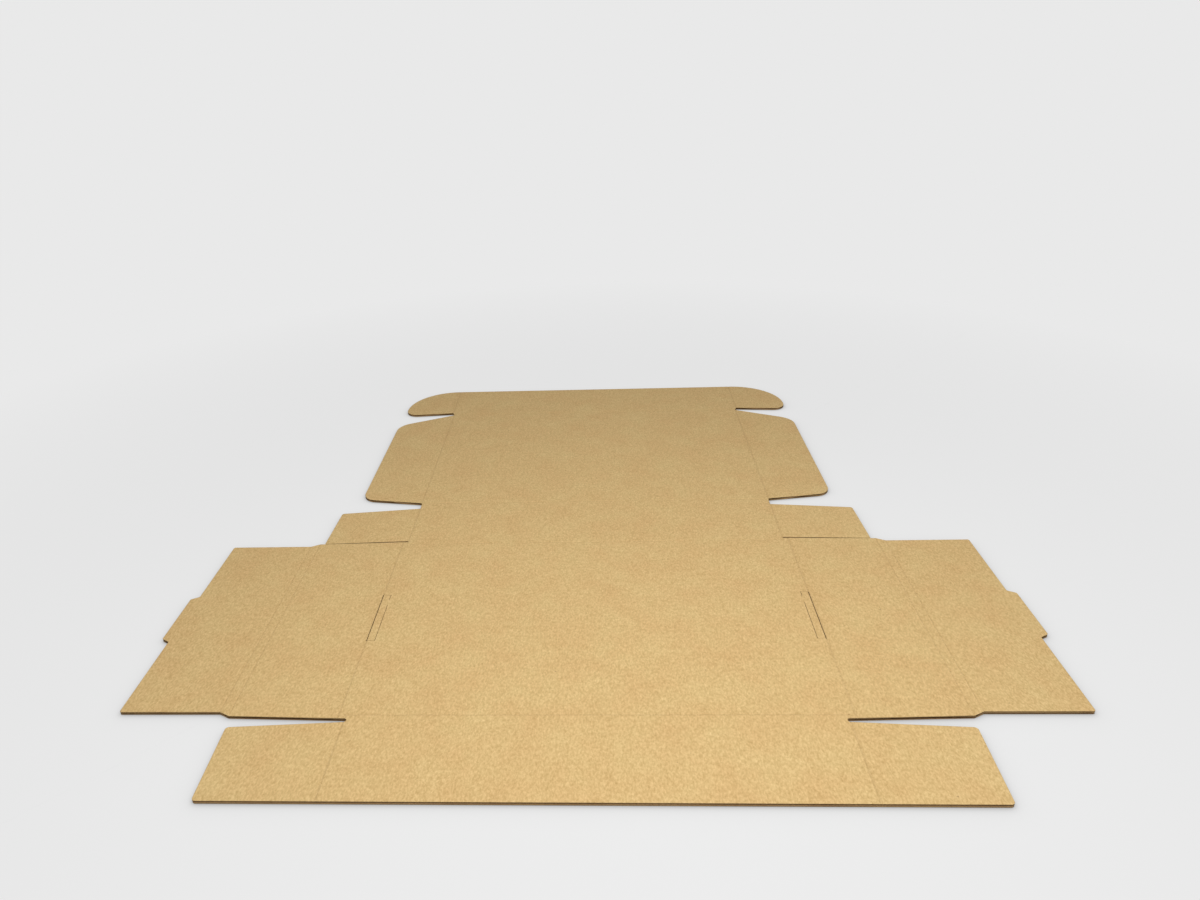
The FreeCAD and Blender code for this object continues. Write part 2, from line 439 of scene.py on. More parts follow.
class BoardTree:
    """Geometry Nodes that corrugate a board, stamp it to an outline, crease it and cut its tab slots.

    The geometry that comes in is the stamp: a closed prism of the blank's outline. The section is drawn with
    the board's width along X and its height along Y, pushed out along Z, and then turned so that its tunnels
    lie along X.

    Attributes:
        SIZES: the tree's named inputs and their kinds.
        WELD_DISTANCE: distance within which points are one, in metres.
        UPRIGHT_LIMIT: how far a face may point up or down and still be a cut edge, from 0 to 1.
        SHOULDER_LIFT: how far a crease's section rises past the face, as a share of its depth.
        SHOULDER_REACH: how far it reaches to each side, as a share of the crease's width.
        BLADE_REACH: height of a knife before its bite scales it, in thicknesses of the board.
    """

    SIZES = {
        "Flute Pitch": "NodeSocketFloat",
        "Flutes": "NodeSocketInt",
        "Board Thickness": "NodeSocketFloat",
        "Liner Thickness": "NodeSocketFloat",
        "Wave Height": "NodeSocketFloat",
        "Tunnel Half Width": "NodeSocketFloat",
        "Washboard Dip": "NodeSocketFloat",
        "Board Length": "NodeSocketFloat",
        "Wave Steps": "NodeSocketInt",
        "Washboard Steps": "NodeSocketInt",
        "Crease Width": "NodeSocketFloat",
        "Crease Depth": "NodeSocketFloat",
        "Crease Steps": "NodeSocketInt",
        "Knife Kerf": "NodeSocketFloat",
        "Creases Along": "NodeSocketObject",
        "Creases Across": "NodeSocketObject",
        "Knives Along": "NodeSocketObject",
        "Knives Across": "NodeSocketObject",
        "Liner Finish": "NodeSocketMaterial",
        "Medium Finish": "NodeSocketMaterial",
        "Cut Edge Finish": "NodeSocketMaterial",
    }
    WELD_DISTANCE = 0.001 * MM
    UPRIGHT_LIMIT = 0.35
    SHOULDER_LIFT = 0.15
    SHOULDER_REACH = 0.65
    BLADE_REACH = 12.0

    def __init__(self) -> None:
        """Make the tree with its named inputs."""
        self.tree = bpy.data.node_groups.new("corrugated_board", "GeometryNodeTree")
        face = self.tree.interface
        face.new_socket("Board", in_out="OUTPUT", socket_type="NodeSocketGeometry")
        face.new_socket("Stamp", in_out="INPUT", socket_type="NodeSocketGeometry")
        for name, kind in self.SIZES.items():
            face.new_socket(name, in_out="INPUT", socket_type=kind)
        self.given = add_node(self.tree, "NodeGroupInput").outputs
        turn = {0: math.tau, 1: self.given["Flute Pitch"]}
        self.turn_per_length = add_node(self.tree, MATH, turn, out=0, operation="DIVIDE")
        roof = {0: self.given["Board Thickness"], 1: self.given["Liner Thickness"]}
        self.ceiling = add_node(self.tree, MATH, roof, out=0, operation="SUBTRACT")
        board = self.pressed(self.stamped(self.extruded(self.section())))
        add_node(self.tree, "NodeGroupOutput", {0: self.finished(board)})

    def tunnel(self) -> bpy.types.NodeSocket:
        """Draw the section of one upper tunnel: the wave below it and the flat liner above it."""
        tree, given = self.tree, self.given
        half = given["Tunnel Half Width"]
        left = add_node(tree, MATH, {0: half, 1: -1.0}, out=0, operation="MULTIPLY")
        index = add_node(tree, "GeometryNodeInputIndex", out=0)
        span = {"Value": index, "From Max": given["Wave Steps"], "To Min": left, "To Max": half}
        across = add_node(tree, "ShaderNodeMapRange", span, out=0)
        angle = add_node(tree, MATH, {0: across, 1: self.turn_per_length}, out=0, operation="MULTIPLY")
        wave = add_node(tree, MATH, {0: angle}, out=0, operation="COSINE")
        rim_angle = add_node(tree, MATH, {0: half, 1: self.turn_per_length}, out=0, operation="MULTIPLY")
        rim_wave = add_node(tree, MATH, {0: rim_angle}, out=0, operation="COSINE")
        below_rim = add_node(tree, MATH, {0: wave, 1: rim_wave}, out=0, operation="SUBTRACT")
        drop = add_node(tree, MATH, {0: below_rim, 1: given["Wave Height"]}, out=0, operation="MULTIPLY")
        height = add_node(tree, MATH, {0: self.ceiling, 1: drop}, out=0, operation="SUBTRACT")
        place = add_node(tree, VECTOR, {"X": across, "Y": height}, out=0)
        return self.drawn_ring(given["Wave Steps"], place)

    def drawn_ring(self, steps: bpy.types.NodeSocket, place: bpy.types.NodeSocket) -> bpy.types.NodeSocket:
        """Draw a closed line whose last side is straight.

        Args:
            steps: how many steps its drawn side has.
            place: where each of its points lies.

        Returns:
            The closed curve.
        """
        tree = self.tree
        count = add_node(tree, MATH, {0: steps, 1: 1.0}, out=0, operation="ADD")
        line = add_node(tree, "GeometryNodeMeshLine", {"Count": count}, out=0)
        drawn = add_node(tree, "GeometryNodeSetPosition", {"Geometry": line, "Position": place}, out=0)
        curve = add_node(tree, "GeometryNodeMeshToCurve", {"Mesh": drawn}, out=0)
        return add_node(tree, "GeometryNodeSetSplineCyclic", {"Geometry": curve, "Cyclic": True}, out=0)

    def tunnel_row(
        self, phase: float, height: float | bpy.types.NodeSocket, rotation: tuple[float, float, float]
    ) -> bpy.types.NodeSocket:
        """Repeat the tunnel along the section.

        Args:
            phase: where the first tunnel's middle lies, as a share of the pitch.
            height: how far the row is lifted, a number or an output.
            rotation: how each tunnel is turned.

        Returns:
            The row's curves.
        """
        tree, pitch, flutes = self.tree, self.given["Flute Pitch"], self.given["Flutes"]
        first = add_node(tree, MATH, {0: flutes, 1: -0.5, 2: phase}, out=0, operation="MULTIPLY_ADD")
        start_x = add_node(tree, MATH, {0: first, 1: pitch}, out=0, operation="MULTIPLY")
        start = add_node(tree, VECTOR, {"X": start_x, "Y": height}, out=0)
        step = add_node(tree, VECTOR, {"X": pitch}, out=0)
        places = {"Count": flutes, "Start Location": start, "Offset": step}
        points = add_node(tree, "GeometryNodeMeshLine", places, out=0)
        row = {"Points": points, "Instance": self.tunnel(), "Rotation": rotation}
        return add_node(tree, "GeometryNodeInstanceOnPoints", row, out=0)

    def outside(self) -> bpy.types.NodeSocket:
        """Draw the section's outer line, which dips a little between the glue lines of each liner."""
        tree, given, thickness = self.tree, self.given, self.given["Board Thickness"]
        flutes = add_node(tree, MATH, {0: given["Flutes"], 1: 2.0}, out=0, operation="ADD")
        width = add_node(tree, MATH, {0: flutes, 1: given["Flute Pitch"]}, out=0, operation="MULTIPLY")
        steps = {0: flutes, 1: given["Washboard Steps"], 2: 1.0}
        columns = add_node(tree, MATH, steps, out=0, operation="MULTIPLY_ADD")
        sheet = {"Size X": width, "Size Y": thickness, "Vertices X": columns, "Vertices Y": 2}
        grid = add_node(tree, "GeometryNodeMeshGrid", sheet, out="Mesh")
        position = add_node(tree, "GeometryNodeInputPosition", out=0)
        apart = add_node(tree, "ShaderNodeSeparateXYZ", {0: position}).outputs
        angle = add_node(tree, MATH, {0: apart["X"], 1: self.turn_per_length}, out=0, operation="MULTIPLY")
        wave = add_node(tree, MATH, {0: angle}, out=0, operation="SINE")
        side = add_node(tree, MATH, {0: apart["Y"]}, out=0, operation="SIGN")
        both = add_node(tree, MATH, {0: side, 1: wave}, out=0, operation="ADD")
        dip = add_node(tree, MATH, {0: both, 1: given["Washboard Dip"]}, out=0, operation="MULTIPLY")
        undipped = add_node(tree, MATH, {0: thickness, 1: dip}, out=0, operation="SUBTRACT")
        lift = add_node(tree, MATH, {0: undipped, 1: 0.5}, out=0, operation="MULTIPLY")
        offset = add_node(tree, VECTOR, {"Y": lift}, out=0)
        dipped = add_node(tree, "GeometryNodeSetPosition", {"Geometry": grid, "Offset": offset}, out=0)
        faces = add_node(tree, "GeometryNodeInputMeshEdgeNeighbors", out=0)
        single = {2: faces, 3: 1}
        rim = add_node(tree, "FunctionNodeCompare", single, out=0, data_type="INT", operation="EQUAL")
        return add_node(tree, "GeometryNodeMeshToCurve", {"Mesh": dipped, "Selection": rim}, out=0)

    def section(self) -> bpy.types.NodeSocket:
        """Fill the section of the whole board, with its tunnels left open."""
        half_turn = (0.0, 0.0, math.pi)
        upper = self.tunnel_row(0.25, 0.0, (0.0, 0.0, 0.0))
        lower = self.tunnel_row(0.75, self.given["Board Thickness"], half_turn)
        joined = add_node(self.tree, "GeometryNodeJoinGeometry", {0: [self.outside(), upper, lower]}, out=0)
        real = add_node(self.tree, "GeometryNodeRealizeInstances", {0: joined}, out=0)
        return add_node(self.tree, "GeometryNodeFillCurve", {"Curve": real}, out=0, mode="TRIANGLES")

    def extruded(self, section: bpy.types.NodeSocket) -> bpy.types.NodeSocket:
        """Push the section out to a closed board and turn its tunnels along X."""
        tree, length = self.tree, self.given["Board Length"]
        pushed = {"Mesh": section, "Offset": (0.0, 0.0, 1.0), "Offset Scale": length, "Individual": False}
        far = add_node(tree, "GeometryNodeExtrudeMesh", pushed, out=0, mode="FACES")
        near = add_node(tree, "GeometryNodeFlipFaces", {0: section}, out=0)
        both = add_node(tree, "GeometryNodeJoinGeometry", {0: [far, near]}, out=0)
        weld = {"Geometry": both, "Distance": self.WELD_DISTANCE}
        closed = add_node(tree, "GeometryNodeMergeByDistance", weld, out=0)
        back = add_node(tree, MATH, {0: length, 1: -0.5}, out=0, operation="MULTIPLY")
        shift = add_node(tree, VECTOR, {"X": back}, out=0)
        quarter = math.pi / 2
        turned = {"Geometry": closed, "Translation": shift, "Rotation": (quarter, 0.0, quarter)}
        return add_node(tree, "GeometryNodeTransform", turned, out=0)

    def stamped(self, board: bpy.types.NodeSocket) -> bpy.types.NodeSocket:
        """Keep only the board inside the stamp."""
        inside = {"Mesh 2": [board, self.given["Stamp"]]}
        return add_node(
            self.tree, "GeometryNodeMeshBoolean", inside, out=0, operation="INTERSECT", solver="MANIFOLD"
        )

    def groove(self) -> bpy.types.NodeSocket:
        """Draw the section of a crease: a soft bell below the board's face, closed by a line just above it.

        The section's Y points down, because the sweep lays it that way.
        """
        tree, given = self.tree, self.given
        index = add_node(tree, "GeometryNodeInputIndex", out=0)
        width = given["Crease Width"]
        right = add_node(tree, MATH, {0: width, 1: self.SHOULDER_REACH}, out=0, operation="MULTIPLY")
        left = add_node(tree, MATH, {0: width, 1: -self.SHOULDER_REACH}, out=0, operation="MULTIPLY")
        span = {"Value": index, "From Max": given["Crease Steps"], "To Min": right, "To Max": left}
        across = add_node(tree, "ShaderNodeMapRange", span, out=0)
        turn = {"Value": index, "From Max": given["Crease Steps"], "To Min": 0.0, "To Max": math.tau}
        angle = add_node(tree, "ShaderNodeMapRange", turn, out=0)
        bell = add_node(tree, MATH, {0: angle}, out=0, operation="COSINE")
        depth = given["Crease Depth"]
        half_share = (1 + self.SHOULDER_LIFT) / 2
        half_height = add_node(tree, MATH, {0: depth, 1: half_share}, out=0, operation="MULTIPLY")
        halfway = add_node(tree, MATH, {0: depth, 1: half_height}, out=0, operation="SUBTRACT")
        swing = add_node(tree, MATH, {0: bell, 1: half_height}, out=0, operation="MULTIPLY")
        down = add_node(tree, MATH, {0: halfway, 1: swing}, out=0, operation="SUBTRACT")
        place = add_node(tree, VECTOR, {"X": across, "Y": down}, out=0)
        return self.drawn_ring(given["Crease Steps"], place)

    def swept(
        self, rules: str, profile: bpy.types.NodeSocket, height: bpy.types.NodeSocket
    ) -> bpy.types.NodeSocket:
        """Sweep a profile along the straight edges of one of the die's objects.

        Args:
            rules: the input that holds the object.
            profile: the profile's curve.
            height: how high the profile's own zero lies.

        Returns:
            The closed cutters.
        """
        tree = self.tree
        edges = add_node(tree, "GeometryNodeObjectInfo", {"Object": self.given[rules]}, out="Geometry")
        curve = add_node(tree, "GeometryNodeMeshToCurve", {"Mesh": edges}, out=0)
        upright = add_node(tree, "GeometryNodeSetCurveNormal", {"Curve": curve}, out=0, mode="Z_UP")
        bite = add_node(tree, "GeometryNodeInputNamedAttribute", {"Name": BITE}, out=0, data_type="FLOAT")
        sweep = {"Curve": upright, "Profile Curve": profile, "Scale": bite, "Fill Caps": True}
        mesh = add_node(tree, "GeometryNodeCurveToMesh", sweep, out=0)
        lift = add_node(tree, VECTOR, {"Z": height}, out=0)
        return add_node(tree, "GeometryNodeTransform", {"Geometry": mesh, "Translation": lift}, out=0)

    def pressed(self, board: bpy.types.NodeSocket) -> bpy.types.NodeSocket:
        """Press the soft grooves of the creases and cut the kerfs of the tab slots."""
        tree, thickness = self.tree, self.given["Board Thickness"]
        groove = self.groove()
        reach = add_node(tree, MATH, {0: thickness, 1: self.BLADE_REACH}, out=0, operation="MULTIPLY")
        blade = {"Width": self.given["Knife Kerf"], "Height": reach}
        knife = add_node(tree, "GeometryNodeCurvePrimitiveQuadrilateral", blade, out=0)
        middle = add_node(tree, MATH, {0: thickness, 1: 0.5}, out=0, operation="MULTIPLY")
        cutters = [
            self.swept("Creases Along", groove, thickness),
            self.swept("Creases Across", groove, thickness),
            self.swept("Knives Along", knife, middle),
            self.swept("Knives Across", knife, middle),
        ]
        cut = {"Mesh 1": board, "Mesh 2": cutters}
        return add_node(
            tree, "GeometryNodeMeshBoolean", cut, out=0, operation="DIFFERENCE", solver="MANIFOLD"
        )

    def finished(self, board: bpy.types.NodeSocket) -> bpy.types.NodeSocket:
        """Give each face its finish by where it lies and how steep it is."""
        tree, given = self.tree, self.given
        real = add_node(tree, "GeometryNodeRealizeInstances", {0: board}, out=0)
        flat = {"Geometry": real, "Shade Smooth": False}
        dressed = add_node(tree, "GeometryNodeSetShadeSmooth", flat, out=0)
        normal = add_node(tree, "GeometryNodeInputNormal", out=0)
        tilt = add_node(tree, "ShaderNodeSeparateXYZ", {0: normal}, out="Z")
        upward = add_node(tree, MATH, {0: tilt}, out=0, operation="ABSOLUTE")
        cut = {0: upward, 1: self.UPRIGHT_LIMIT}
        steep = add_node(tree, "FunctionNodeCompare", cut, out=0, operation="LESS_THAN")
        position = add_node(tree, "GeometryNodeInputPosition", out=0)
        height = add_node(tree, "ShaderNodeSeparateXYZ", {0: position}, out="Z")
        middle = add_node(tree, MATH, {0: given["Board Thickness"], 1: 0.5}, out=0, operation="MULTIPLY")
        from_middle = add_node(tree, MATH, {0: height, 1: middle}, out=0, operation="SUBTRACT")
        off_middle = add_node(tree, MATH, {0: from_middle}, out=0, operation="ABSOLUTE")
        tunnel_reach = add_node(tree, MATH, {0: self.ceiling, 1: middle}, out=0, operation="SUBTRACT")
        reach = add_node(tree, MATH, {0: tunnel_reach, 1: self.WELD_DISTANCE}, out=0, operation="ADD")
        core = {0: off_middle, 1: reach}
        inside = add_node(tree, "FunctionNodeCompare", core, out=0, operation="LESS_THAN")
        places = {"Liner Finish": True, "Medium Finish": inside, "Cut Edge Finish": steep}
        for name, selection in places.items():
            wearing = {"Geometry": dressed, "Selection": selection, "Material": given[name]}
            dressed = add_node(tree, "GeometryNodeSetMaterial", wearing, out=0)
        return dressed


@dataclass(frozen=True)
class PaperFinish:
    """Unbleached kraft paper, rolled matt on the paper machine, on Object coordinates in the part's frame.

    Attributes:
        name: what the paper is.
        thin: its colour where the sheet formed thin.
        dense: its colour where the sheet formed dense.
        fleck: colour of its bark flecks.
        cloud: size of the clouds that its uneven formation leaves, in millimetres.
        bundle_width: width of a bundle of fibres, in millimetres, coarser than real so that it shows.
        bundle_length: length of a bundle, along the machine's direction, in millimetres.
        grain: how far bundles go from the mean, as shares of its red, green and blue. Blue goes furthest,
            because dense bundles are yellower.
        fleck_spacing: from one fleck to the next, in millimetres.
        fleck_radius: radius of the largest fleck, in millimetres.
        fleck_rarity: power by which large flecks are rarer than small ones.
        fleck_cover: how much of its own colour a fleck shows, as a share.
        pressed_shade: painted shade, how much darker the paper is painted the deeper it lies in from the
            board's faces, in creases, washboard dips and rolled cut rims, as a share. In a crease it is
            partly the darker pressed fibres too.
        pressed_depth: depth in from the face at which the painted shade is full, in millimetres.
        tooth: height of its fibres, in millimetres.
        roughness: how matt it is.
    """

    name: str
    thin: str
    dense: str
    fleck: str = "#80603A"
    cloud: float = 32.0
    bundle_width: float = 1.3
    bundle_length: float = 2.4
    grain: tuple[float, float, float] = (0.27, 0.31, 0.44)
    fleck_spacing: float = 9.0
    fleck_radius: float = 1.1
    fleck_rarity: float = 8.0
    fleck_cover: float = 0.85
    pressed_shade: float = 0.1
    pressed_depth: float = 0.4
    tooth: float = 0.07
    roughness: float = 0.82

    def material(self, board: BoardGrade) -> bpy.types.Material:
        """Build the material for a board of one grade."""
        made = bpy.data.materials.new(self.name)
        made.use_nodes = True
        tree = made.node_tree
        tree.nodes.clear()
        place = add_node(tree, "ShaderNodeTexCoord", out="Object")
        fibres = self.fibres(tree, place)
        sheet = self.flecked(tree, place, self.clouded(tree, place, fibres))
        # Painted shade: the paper darkens the deeper it lies in from the board's faces.
        colour = self.painted_pressed_shade(tree, place, sheet, board)
        tooth = {"Height": fibres, "Distance": self.tooth * MM}
        normal = add_node(tree, "ShaderNodeBump", tooth, out=0)
        paper = {"Base Color": colour, "Roughness": self.roughness, "Normal": normal}
        shader = add_node(tree, "ShaderNodeBsdfPrincipled", paper, out=0)
        add_node(tree, "ShaderNodeOutputMaterial", {"Surface": shader})
        return made

    def fibres(self, tree: bpy.types.NodeTree, place: bpy.types.NodeSocket) -> bpy.types.NodeSocket:
        """Draw the bundles of fibres, which lie across the flutes, as the paper machine left them."""
        across, along = 1 / (self.bundle_width * MM), 1 / (self.bundle_length * MM)
        per_metre = {"Vector": place, "Scale": (across, along, across)}
        drawn = add_node(tree, "ShaderNodeMapping", per_metre, out=0)
        strands = {"Vector": drawn, "Scale": 1.0, "Detail": 3.0, "Roughness": 0.6, "Distortion": 0.4}
        return add_node(tree, "ShaderNodeTexNoise", strands, out="Fac")

    def clouded(
        self, tree: bpy.types.NodeTree, place: bpy.types.NodeSocket, fibres: bpy.types.NodeSocket
    ) -> bpy.types.NodeSocket:
        """Colour the sheet by its clouds, and lighten and darken it by its fibres.

        Args:
            tree: the material's tree.
            place: where on the board.
            fibres: the fibres' own pattern.

        Returns:
            The colour's output.
        """
        formation = {"Vector": place, "Scale": 1 / (self.cloud * MM), "Detail": 3.0, "Roughness": 0.6}
        clouds = add_node(tree, "ShaderNodeTexNoise", formation, out="Fac")
        band = {"Value": clouds, "From Min": CLOUD_BAND[0], "From Max": CLOUD_BAND[1]}
        share = add_node(tree, "ShaderNodeMapRange", band, out=0)
        shades = {0: share, 6: linear(self.thin), 7: linear(self.dense)}
        sheet = add_node(tree, "ShaderNodeMix", shades, out=2, data_type="RGBA")
        spread = {"Value": fibres, "From Min": FIBRE_BAND[0], "From Max": FIBRE_BAND[1]}
        thinness = add_node(tree, "ShaderNodeMapRange", spread, out=0)
        dull = (*(1 - share for share in self.grain), 1.0)
        bright = (*(1 + share for share in self.grain), 1.0)
        swing = {0: thinness, 6: dull, 7: bright}
        light = add_node(tree, "ShaderNodeMix", swing, out=2, data_type="RGBA")
        return add_node(tree, "ShaderNodeVectorMath", {0: sheet, 1: light}, out=0, operation="MULTIPLY")

    def flecked(
        self, tree: bpy.types.NodeTree, place: bpy.types.NodeSocket, colour: bpy.types.NodeSocket
    ) -> bpy.types.NodeSocket:
        """Strew bark flecks of every size up to the largest, one to each cell, the large ones rarely.

        Args:
            tree: the material's tree.
            place: where on the board.
            colour: the sheet's colour.

        Returns:
            The colour's output.
        """
        strewn = {"Vector": place, "Scale": 1 / (self.fleck_spacing * MM)}
        cells = add_node(tree, "ShaderNodeTexVoronoi", strewn)
        draw = add_node(tree, "ShaderNodeSeparateColor", {0: cells.outputs["Color"]}, out=0)
        chance = add_node(tree, MATH, {0: draw, 1: self.fleck_rarity}, out=0, operation="POWER")
        largest = self.fleck_radius / self.fleck_spacing
        radius = add_node(tree, MATH, {0: chance, 1: largest}, out=0, operation="MULTIPLY")
        falloff = {
            "Value": cells.outputs["Distance"],
            "From Max": radius,
            "To Min": self.fleck_cover,
            "To Max": 0.0,
        }
        cover = add_node(tree, "ShaderNodeMapRange", falloff, out=0)
        shades = {0: cover, 6: colour, 7: linear(self.fleck)}
        return add_node(tree, "ShaderNodeMix", shades, out=2, data_type="RGBA")

    def painted_pressed_shade(
        self,
        tree: bpy.types.NodeTree,
        place: bpy.types.NodeSocket,
        colour: bpy.types.NodeSocket,
        board: BoardGrade,
    ) -> bpy.types.NodeSocket:
        """Paint shade on the paper, darker the deeper it lies in from the board's face.

        The painted shade falls in creases, washboard dips between glue lines and rolled cut rims. In a crease
        it stands partly for the darker pressed fibres too.

        Args:
            tree: the material's tree.
            place: where on the board.
            colour: the flecked colour.
            board: the board that the paper is part of.

        Returns:
            The colour's output.
        """
        half = board.thickness / 2 * MM
        height = add_node(tree, "ShaderNodeSeparateXYZ", {0: place}, out="Z")
        from_middle = add_node(tree, MATH, {0: height, 1: half}, out=0, operation="SUBTRACT")
        off_middle = add_node(tree, MATH, {0: from_middle}, out=0, operation="ABSOLUTE")
        span = {
            "Value": off_middle,
            "From Min": half - self.pressed_depth * MM,
            "From Max": half,
            "To Min": 1 - self.pressed_shade,
        }
        kept = add_node(tree, "ShaderNodeMapRange", span, out=0)
        return add_node(tree, "ShaderNodeVectorMath", {0: colour, "Scale": kept}, out=0, operation="SCALE")


# Kraft liner: brown softwood fibres with bark flecks, which read as a fine warm grain with no gloss.
KRAFT_LINER = PaperFinish("kraft_liner", thin="#CFB178", dense="#CCA971")

# Fluting medium: recycled semi-chemical paper, coarser than the liner. Its colour is painted darker than the
# real medium's, as painted shade in the open tunnels.
FLUTING_MEDIUM_PAINTED_SHADE = PaperFinish("fluting_medium_painted_shade", thin="#8E6F47", dense="#7C5D39", bundle_width=0.6, pressed_shade=0.0)

# Die-cut edge of the papers: torn fibre ends, rougher than the face and a little duller.
RAW_BOARD_EDGE = PaperFinish(
    "raw_board_edge",
    thin="#B3925F",
    dense="#9C7B4C",
    bundle_width=0.3,
    bundle_length=0.3,
    grain=(0.3, 0.3, 0.3),
    pressed_shade=0.0,
    tooth=0.12,
    roughness=0.95,
)


@dataclass
class BoxBlank:
    """The blank: a corrugated board, stamped, creased and cut by its die.

    Attributes:
        board: the board's grade.
        die: the cutting die.
        rim: how the knife rolls the liners over at the outline's cut, as pairs of a depth below the face and
            how
        far the outline is drawn in there. A depth below zero is above the face.
        stamp_margin: how far the stamp stands past both faces.
        crease_steps: straight steps that a crease's section is drawn with.
    """

    board: BoardGrade = field(default_factory=BoardGrade)
    die: MailerDie = field(default_factory=MailerDie)
    rim: tuple[tuple[float, float], ...] = ((-0.02, 1.37), (0.1, 0.35), (0.3, 0.0))
    stamp_margin: float = 0.5
    crease_steps: int = 12

    def stamp(self) -> bpy.types.Object:
        """Build the closed prism of the outline, drawn in a little where the knife rolls the liners over."""
        points = self.die.outline()
        face_inset = self.rim[0][1]
        lower = [(-self.stamp_margin, face_inset)] + list(self.rim)
        upper = [(self.board.thickness - depth, inset) for depth, inset in reversed(lower)]
        build = bmesh.new()
        rings = []
        for height, inset in lower + upper:
            rings.append([build.verts.new(point) for point in inset_ring(points, inset * MM, height * MM)])
        build.faces.new(reversed(rings[0]))
        build.faces.new(rings[-1])
        for below, above in zip(rings, rings[1:]):
            for index, start in enumerate(below):
                after = (index + 1) % len(below)
                build.faces.new((start, below[after], above[after], above[index]))
        return linked("stamp", build)

    def rules(self, name: str, rules: list[Rule], lie: Lie) -> bpy.types.Object:
        """Build an object that holds one straight edge for each rule that lies one way.

        Args:
            name: the object's name.
            rules: rules of both ways.
            lie: the way that is wanted.

        Returns:
            The object.
        """
        build = bmesh.new()
        bite = build.verts.layers.float.new(BITE)
        for rule in rules:
            if rule.lie is lie:
                start = build.verts.new(self.die.placed(rule.x_low, rule.y_low))
                end = build.verts.new(self.die.placed(rule.x_high, rule.y_high))
                start[bite] = end[bite] = rule.bite
                build.edges.new((start, end))
        return linked(name, build)

    def tools(self) -> dict[str, bpy.types.Object]:
        """Build the die's rules and knives, for each input of the tree that takes them."""
        creases, knives = self.die.creasing_rules(), self.die.slot_knives()
        return {
            "Creases Along": self.rules("creases_along", creases, Lie.ALONG_FLUTES),
            "Creases Across": self.rules("creases_across", creases, Lie.ACROSS_FLUTES),
            "Knives Along": self.rules("knives_along", knives, Lie.ALONG_FLUTES),
            "Knives Across": self.rules("knives_across", knives, Lie.ACROSS_FLUTES),
        }

    def sizes(self) -> dict[str, object]:
        """Work out the sizes and finishes, for each input of the tree that takes them."""
        board, die = self.board, self.die
        return {
            "Flute Pitch": board.pitch * MM,
            "Flutes": 2 * math.ceil((die.tuck_end - die.front_end) / board.pitch / 2),
            "Board Thickness": board.thickness * MM,
            "Liner Thickness": board.liner * MM,
            "Wave Height": board.wave_height * MM,
            "Tunnel Half Width": board.tunnel_half_width * MM,
            "Washboard Dip": board.washboard * MM,
            "Board Length": 2 * (die.tab_tip + board.pitch) * MM,
            "Wave Steps": board.wave_steps,
            "Washboard Steps": board.washboard_steps,
            "Crease Width": die.crease_width * MM,
            "Crease Depth": die.crease_depth * MM,
            "Crease Steps": self.crease_steps,
            "Knife Kerf": die.knife_kerf * MM,
            "Liner Finish": KRAFT_LINER.material(board),
            "Medium Finish": FLUTING_MEDIUM_PAINTED_SHADE.material(board),
            "Cut Edge Finish": RAW_BOARD_EDGE.material(board),
        }

    def build(self) -> bpy.types.Object:
        """Run the tree on the stamp and keep its result as a plain mesh.

        Returns:
            The piece that stands for the CAD blank.
        """
        stamp, tools = self.stamp(), self.tools()
        modifier = stamp.modifiers.new("board", "NODES")
        modifier.node_group = BoardTree().tree
        values = {**self.sizes(), **tools}
        for socket in modifier.node_group.interface.items_tree:
            if socket.name in values:
                modifier[socket.identifier] = values[socket.name]
        graph = bpy.context.evaluated_depsgraph_get()
        mesh = bpy.data.meshes.new_from_object(stamp.evaluated_get(graph))
        stamp.modifiers.remove(modifier)
        if BITE in mesh.attributes:
            mesh.attributes.remove(mesh.attributes[BITE])
        for helper in (stamp, *tools.values()):
            bpy.data.objects.remove(helper)
        piece = bpy.data.objects.new("corrugated_blank", mesh)
        bpy.context.scene.collection.objects.link(piece)
        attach(piece, BLANK_BODY)
        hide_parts(BLANK_NODE)
        return piece


def inset_ring(points: list[Vector], inset: float, height: float) -> list[Vector]:
    """Draw an anticlockwise outline in by the same distance all round.

    Args:
        points: the outline.
        inset: how far it is drawn in.
        height: the ring's height.

    Returns:
        One point for each point of the outline.
    """
    ring = []
    for index, point in enumerate(points):
        into = (point - points[index - 1]).normalized()
        out = (points[(index + 1) % len(points)] - point).normalized()
        inward = Vector((-into.y, into.x, 0))
        onward = Vector((-out.y, out.x, 0))
        shift = (inward + onward) * inset / (1 + inward.dot(onward))
        ring.append(point + shift + Vector((0, 0, height)))
    return ring


def linked(name: str, build: bmesh.types.BMesh) -> bpy.types.Object:
    """Turn a finished bmesh into an object of the scene."""
    mesh = bpy.data.meshes.new(name)
    build.to_mesh(mesh)
    build.free()
    made = bpy.data.objects.new(name, mesh)
    bpy.context.scene.collection.objects.link(made)
    return made


